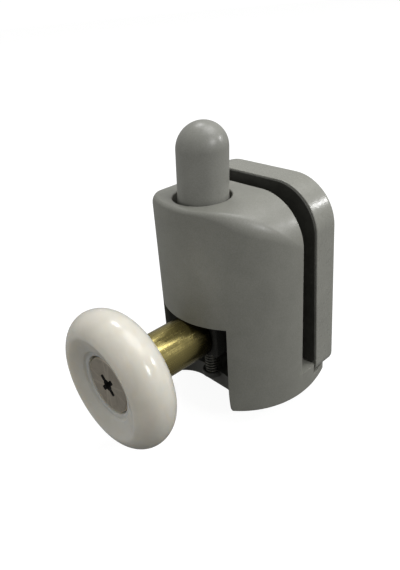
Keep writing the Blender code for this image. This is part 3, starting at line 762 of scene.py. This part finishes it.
def clamp_parts():
    ring = arch_ring(PLATE_W, PLATE_H, PLATE_R, PLATE_Z, 2.2)
    plate = slab("clamp_plate_body", ring, PLATE_Y0, PLATE_Y1, 0.18, 0.7, PLATE, heel=2.9)
    trim = 0.14
    ring = arch_ring(PLATE_W - trim, PLATE_H - trim, PLATE_R - trim, FOOT_Z + 0.3, 0.9)
    pad = slab("glass_pad_sheet", ring, PLATE_Y0 - 0.45, PLATE_Y0 - 0.05, 0.1, 0.05, PAD, 3)
    for side, label in ((-1, "left"), (1, "right")):
        at = (side * SCREW_X, 0, SCREW_Z)
        sink = fillet([(0, PLATE_Y1 + 1, 0), (4.2, PLATE_Y1 + 1, 0), (4.2, PLATE_Y1 - 0.3, 0.15),
                       (2.05, PLATE_Y1 - 2.35, 0), (2.05, PLATE_Y0 - 1, 0), (0, PLATE_Y0 - 1, 0)])
        cuts(plate, lathe("sink_cutter", sink, at, "Y", None, 64))
        cuts(pad, drum("pad_hole", 2.25, PLATE_Y0 - 2, PLATE_Y0 + 2, at, "Y"))
        head = PLATE_Y1 - 0.15
        line = fillet([(0, head, 0), (3.9, head, 0.15), (3.9, head - 0.3, 0.08),
                       (1.95, head - 2.15, 0.2), (1.95, head - 2.8, 0)], closed=False)
        line += threaded(1.95, head - 3.0, head - 12.9) + [(1.5, head - 13.6), (0, head - 13.6)]
        screw = lathe("clamp_screw_%s_body" % label, line, at, "Y", STEEL, 72, False)
        cuts(screw, *cross_cutters((at[0], head, at[2]), 3.6, 0.75, 1.0, 0.4 * side, 1))
        put(weighted(screw), "housing", "screw_steel", "clamp_screw_" + label)
        insert = fillet([(2.2, 5.9, 0.15), (2.9, 5.9, 0.2), (2.9, 12.2, 0.2), (2.2, 12.2, 0.15)])
        put(weighted(lathe("clamp_insert_%s_sleeve" % label, insert, at, "Y", INSERT_BRASS, 64)),
            "housing", "insert_brass", "clamp_insert_" + label)
    pivot = (0, PLATE_Y0, SCREW_Z)
    put(weighted(lean(plate, PLATE_LEAN, pivot)), "housing", "plate_plastic", "clamp_plate")
    put(weighted(lean(pad, PLATE_LEAN, pivot)), "housing", "pad_rubber", "glass_pad")


clamp_parts()


# ---------------------------------------------------------------- button, carrier, axle, spacer
def plunger_parts():
    r, top, pin_at = BUTTON_R, BUTTON_TOP, (0, AXIS_Y, PIN_Z)
    angles = [math.pi / 2 * k / 24 for k in range(25)]
    line = [(r * math.sin(a), top - r * (1 - math.cos(a))) for a in angles]
    line += fillet([(r, BEND_FROM, 0), (r, 17.8, 0.4), (2.8, 17.8, 0.15), (2.8, 28.3, 0),
                    (0, 28.3, 0)], closed=False)
    button = lathe("push_button_cap", line, (0, AXIS_Y, 0), "Z", BUTTON, 96, False)
    cuts(button, drum("button_pin_hole", 0.95, -6, 6, pin_at, "X", 32))
    for v in button.data.vertices:
        v.co += Vector(BEND_WAY) * BEND * max(0.0, v.co.z - BEND_FROM * MM)
    put(weighted(button), "plunger", "button_plastic", "push_button")

    carrier = box("axle_carrier_block", (-4.6, 0.9, 9.4), (4.6, 8.9, 17.5), CARRIER_SHADE, 0.6)
    cuts(carrier, drum("stem", 2.5, 16.9, 28.0, (0, AXIS_Y, 0), "Z"), kind="UNION")
    cuts(carrier, drum("pin_bore", 0.95, -6, 6, pin_at, "X", 32),
         drum("axle_bore", 2.3, -2, 12, AXLE_AT, "Y"),
         drum("insert_bore", 3.1, 3.2, 12.2, AXLE_AT, "Y"))
    put(weighted(carrier), "plunger", "carrier_plastic", "axle_carrier")
    pin = fillet([(0, -4.1, 0), (0.75, -4.1, 0.15), (0.75, 4.1, 0.15), (0, 4.1, 0)], closed=False)
    put(lathe("cross_pin_dowel", pin, pin_at, "X", STEEL, 40, False),
        "plunger", "screw_steel", "cross_pin")
    insert = fillet([(2.2, 3.5, 0.12), (2.8, 3.5, 0.15), (2.8, 8.7, 0.15), (2.2, 8.7, 0.12)])
    put(lathe("axle_insert_sleeve", insert, AXLE_AT, "Y", INSERT_BRASS, 64),
        "plunger", "insert_brass", "axle_insert")

    line = fillet([(0, HEAD_Y, 0), (5.02, HEAD_Y, 0.3), (5.02, HEAD_Y + 1.4, 0.12),
                   (2.0, HEAD_Y + 1.4, 0.1), (2.0, 2.0, 0)], closed=False)
    line += threaded(2.0, 2.2, 7.2, 0.7, 0.25) + [(1.6, 7.75), (0, 7.75)]
    axle = lathe("axle_screw_body", line, AXLE_AT, "Y", HEAD_STEEL, 96, False)
    cuts(axle, *cross_cutters((0, HEAD_Y, AXLE_Z), 4.7, 1.15, 1.0, math.radians(47), -1, 0.8))
    # the cross recess is painted near black: painted shade
    axle.data.materials.append(RECESS_SHADE)
    for face in axle.data.polygons:
        at = face.center / MM
        if math.hypot(at.x, at.z - AXLE_Z) < 2.7 and HEAD_Y + 0.03 < at.y < HEAD_Y + 1.35:
            face.material_index = 1
    put(weighted(axle), "plunger", "axle_steel", "axle_screw")

    front, back = BEARING_Y + BEARING_HALF + 0.3, 0.6
    spacer = fillet([(2.25, front, 0.2), (4.28, front, 0.3), (4.28, back, 0.3), (2.25, back, 0.2)])
    put(weighted(lathe("brass_spacer_tube", spacer, AXLE_AT, "Y", BRASS, 128)),
        "plunger", "spacer_brass", "brass_spacer")


plunger_parts()


# ---------------------------------------------------------------- return spring
def spring_piece():
    turns, radius, wire, low, high = 10, 1.3, 0.15, 2.75, 9.25
    steps, sides = 40 * turns, 10
    rise = high - low - 2 * wire
    up, around = Vector((0, 0, 1)), [2 * math.pi * m / sides for m in range(sides)]
    bm = bmesh.new()
    rows = []
    for k in range(steps + 1):
        a = 2 * math.pi * turns * k / steps
        centre = Vector(SPRING_AT) + Vector((radius * math.cos(a), radius * math.sin(a),
                                             low + wire + rise * k / steps))
        out = Vector((math.cos(a), math.sin(a), 0))
        rows.append([bm.verts.new(centre + wire * (out * math.cos(b) + up * math.sin(b)))
                     for b in around])
    bands(bm, rows)
    bm.faces.new(rows[0])
    bm.faces.new(rows[-1][::-1])
    ob = made("return_spring_coil", bm, SPRING_STEEL)
    put(ob, "housing", "spring_steel", "return_spring")
    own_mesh(ob)


spring_piece()


# ---------------------------------------------------------------- wheel and bearing
def wheel_parts():
    at = (0, WHEEL_Y, AXLE_Z)
    flat, bore, seat, rear, front = 7.84, 5.36, 8.3, 4.39, 4.24
    bulge, lip_back = 12.5 - flat, HEAD_Y + 1.4 - WHEEL_Y
    line = [(seat, rear - 0.3), (seat + 0.35, rear - 0.02)]
    for k in range(3, 41):
        a = math.pi / 2 - math.pi * k / 48
        line.append((flat + bulge * math.cos(a), (rear if a > 0 else front) * math.sin(a)))
    # shallow dish round the axle screw's head
    line += fillet([(*line[-1], 0), (9.3, -4.02, 0.9), (8.2, -3.54, 2.0), (6.35, -2.78, 0.25),
                    (6.05, -2.42, 0.25), (bore, -2.33, 0.15), (bore, -1.6, 0)],
                   closed=False, steps=6)[1:]
    line += [(bore, lip_back), (seat, lip_back)]
    tyre = lathe("wheel_tyre_ring", line, at, "Y", NYLON, 144)
    put(weighted(tyre), "wheel", "tyre_nylon", "wheel_tyre")

    mid, half, pitch, track = (0, BEARING_Y, AXLE_Z), BEARING_HALF, 5.3, 1.45

    def groove(shoulder, way):
        reach = math.acos(abs(shoulder - pitch) / track)
        return [(pitch + way * track * math.cos(a), track * math.sin(a))
                for a in [reach - 2 * reach * k / 8 for k in range(9)]]

    inner = [(2.25, half), (4.3, half), (4.45, half - 0.15)] + groove(4.45, -1)
    inner += [(4.45, 0.15 - half), (4.3, -half), (2.25, -half)]
    put(weighted(lathe("bearing_inner_ring", inner, mid, "Y", RACE_STEEL, 96)),
        "plunger", "bearing_steel", "bearing_inner_race")
    seat_y = half - 0.6
    outer = [(6.9, half), (7.85, half), (8.0, half - 0.15), (8.0, 0.15 - half), (7.85, -half),
             (6.9, -half), (6.9, -seat_y), (6.15, -seat_y)]
    outer += groove(6.15, 1)[::-1] + [(6.15, seat_y), (6.9, seat_y)]
    put(weighted(lathe("bearing_outer_ring", outer, mid, "Y", RACE_STEEL, 96)),
        "wheel", "bearing_steel", "bearing_outer_race")
    for side, label in ((-1, "front"), (1, "rear")):
        face, far = side * (half - 0.2), side * (half - 0.45)
        step = side * (half - 0.32)
        shield = [(4.75, far), (4.75, step), (5.1, step), (5.25, face), (6.65, face),
                  (6.8, face - side * 0.05), (6.8, far)]
        put(weighted(lathe("bearing_shield_%s_disc" % label, shield, mid, "Y", SHIELD_STEEL, 96)),
            "wheel", "shield_steel", "bearing_shield_" + label)
    for k in range(1, 8):
        a = 2 * math.pi * (k - 1) / 7 + math.pi / 2
        bm = bmesh.new()
        bmesh.ops.create_icosphere(bm, subdivisions=3, radius=1.2)
        at = (pitch * math.cos(a), BEARING_Y, AXLE_Z + pitch * math.sin(a))
        bmesh.ops.translate(bm, vec=at, verts=bm.verts)
        put(made("bearing_ball_%d_sphere" % k, bm, BALL_STEEL),
            "ball_cage", "ball_steel", "bearing_ball_%d" % k)


wheel_parts()
# the cage keeps its CAD shape and only gets a material
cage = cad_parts["ball_cage"]
cage.data.materials.clear()
cage.data.materials.append(CAGE)


# ---------------------------------------------------------------- floor, light and camera
def stage_set():
    floor_mat = bpy.data.materials.new("floor_pale")
    floor_mat.use_nodes = True
    shader = floor_mat.node_tree.nodes["Principled BSDF"]
    shader.inputs["Base Color"].default_value = (0.16, 0.16, 0.16, 1)
    shader.inputs["Roughness"].default_value = 0.9
    shader.inputs["Specular IOR Level"].default_value = 0.0
    shader.inputs["Emission Color"].default_value = (1, 1, 1, 1)
    shader.inputs["Emission Strength"].default_value = 0.93
    bm = bmesh.new()
    bmesh.ops.create_circle(bm, cap_ends=True, radius=FLOOR_RADIUS, segments=96)
    bmesh.ops.translate(bm, vec=(0, 0, FLOOR_Z), verts=bm.verts)
    floor = made("studio_floor", bm, floor_mat)
    floor.visible_diffuse = floor.visible_glossy = floor.visible_transmission = False

    dome_mat = bpy.data.materials.new("backdrop_white")
    dome_mat.use_nodes = True
    tree = dome_mat.node_tree
    tree.nodes.clear()
    glow, out = tree.nodes.new("ShaderNodeEmission"), tree.nodes.new("ShaderNodeOutputMaterial")
    glow.inputs["Strength"].default_value = 1.05
    tree.links.new(glow.outputs[0], out.inputs[0])
    bm = bmesh.new()
    bmesh.ops.create_uvsphere(bm, u_segments=48, v_segments=24, radius=BACKDROP_RADIUS)
    dome = made("studio_backdrop", bm, dome_mat)
    for flag in ("visible_diffuse", "visible_glossy", "visible_transmission", "visible_shadow"):
        setattr(dome, flag, False)

    world = bpy.data.worlds.new("studio")
    bpy.context.scene.world = world
    world.use_nodes = True
    tree = world.node_tree
    coords, split = tree.nodes.new("ShaderNodeTexCoord"), tree.nodes.new("ShaderNodeSeparateXYZ")
    ramp = tree.nodes.new("ShaderNodeValToRGB")
    tree.links.new(coords.outputs["Generated"], split.inputs[0])
    lift = tree.nodes.new("ShaderNodeMapRange")
    lift.inputs["From Min"].default_value, lift.inputs["From Max"].default_value = -1.0, 1.0
    tree.links.new(split.outputs["Z"], lift.inputs["Value"])
    tree.links.new(lift.outputs["Result"], ramp.inputs["Fac"])
    band = ramp.color_ramp.elements
    for at, shade in ((0.0, 0.12), (0.47, 0.34), (0.58, 0.46), (1.0, 0.50)):
        stop = band[0] if at == 0.0 else band[-1] if at == 1.0 else band.new(at)
        stop.position = at
        stop.color = (shade, shade, shade * 0.98, 1)
    tree.links.new(ramp.outputs["Color"], tree.nodes["Background"].inputs["Color"])
    tree.nodes["Background"].inputs["Strength"].default_value = 0.8

    target = Vector((0, 0, 0.025))
    for name, direction, size, watts in (("lamp_left_back", (-0.43, 0.28, 0.86), 0.16, 0.8),
                                         ("lamp_right", (0.78, 0.12, 0.45), 0.12, 1.1),
                                         ("lamp_back", (0.54, 0.75, 0.38), 0.05, 0.7),
                                         ("lamp_left_low", (-0.66, -0.74, 0.10), 0.30, 0.95),
                                         ("ceiling_soft", (0.20, 0.36, 0.91), 0.45, 2.1)):
        light = bpy.data.lights.new(name, "AREA")
        light.shape, light.size, light.energy = "DISK", size, watts
        lamp = bpy.data.objects.new(name, light)
        lamp.location = target + Vector(direction).normalized() * 0.6
        lamp.rotation_mode = "QUATERNION"
        lamp.rotation_quaternion = Vector(direction).to_track_quat("Z", "Y")
        lamp.visible_camera, lamp.visible_glossy = False, name != "lamp_left_low"
        bpy.context.scene.collection.objects.link(lamp)

    data = bpy.data.cameras.new("photo_camera")
    camera = bpy.data.objects.new("photo_camera", data)
    spin = Euler([math.radians(a) for a in CAMERA_TURN]).to_matrix().to_4x4()
    camera.matrix_world = Matrix.Translation(Vector(CAMERA_AT) * MM) @ spin
    data.sensor_width, data.lens = 36.0, LENS
    data.clip_start, data.clip_end = 0.005, 20.0
    bpy.context.scene.collection.objects.link(camera)
    bpy.context.scene.camera = camera
    bpy.context.scene.view_settings.view_transform = "Standard"


stage_set()
